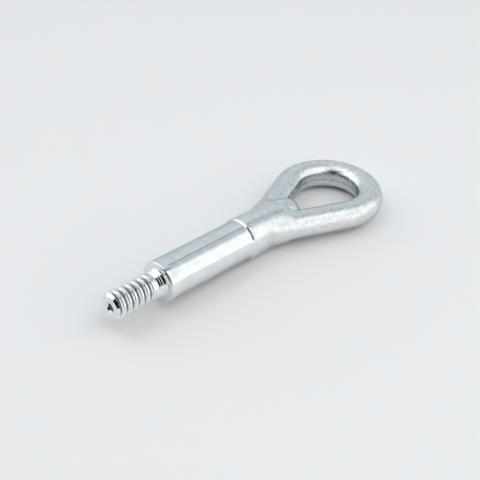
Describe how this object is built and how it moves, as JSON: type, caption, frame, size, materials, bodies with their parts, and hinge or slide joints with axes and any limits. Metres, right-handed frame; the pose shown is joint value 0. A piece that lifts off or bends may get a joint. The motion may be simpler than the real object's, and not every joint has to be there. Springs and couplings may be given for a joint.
{
  "type": "tow eye",
  "caption": "Screw-in tow eye: a left-hand threaded stub, a plain round shank and a forged drop-shaped eye with a level opening for a tow hook or rope.",
  "frame": {"origin": "centre of the shoulder face, on the axis of the screw", "axes": "+X along the axis from the shoulder to the eye, +Z square to the flat of the eye"},
  "size_m": [0.2025, 0.067, 0.0258],
  "materials": {
    "zinc_plate": "bright zinc plating, smooth on the turned end and finely grained on the forged eye"
  },
  "bodies": {
    "root": {"tow_eye": "zinc_plate"}
  },
  "joints": []
}
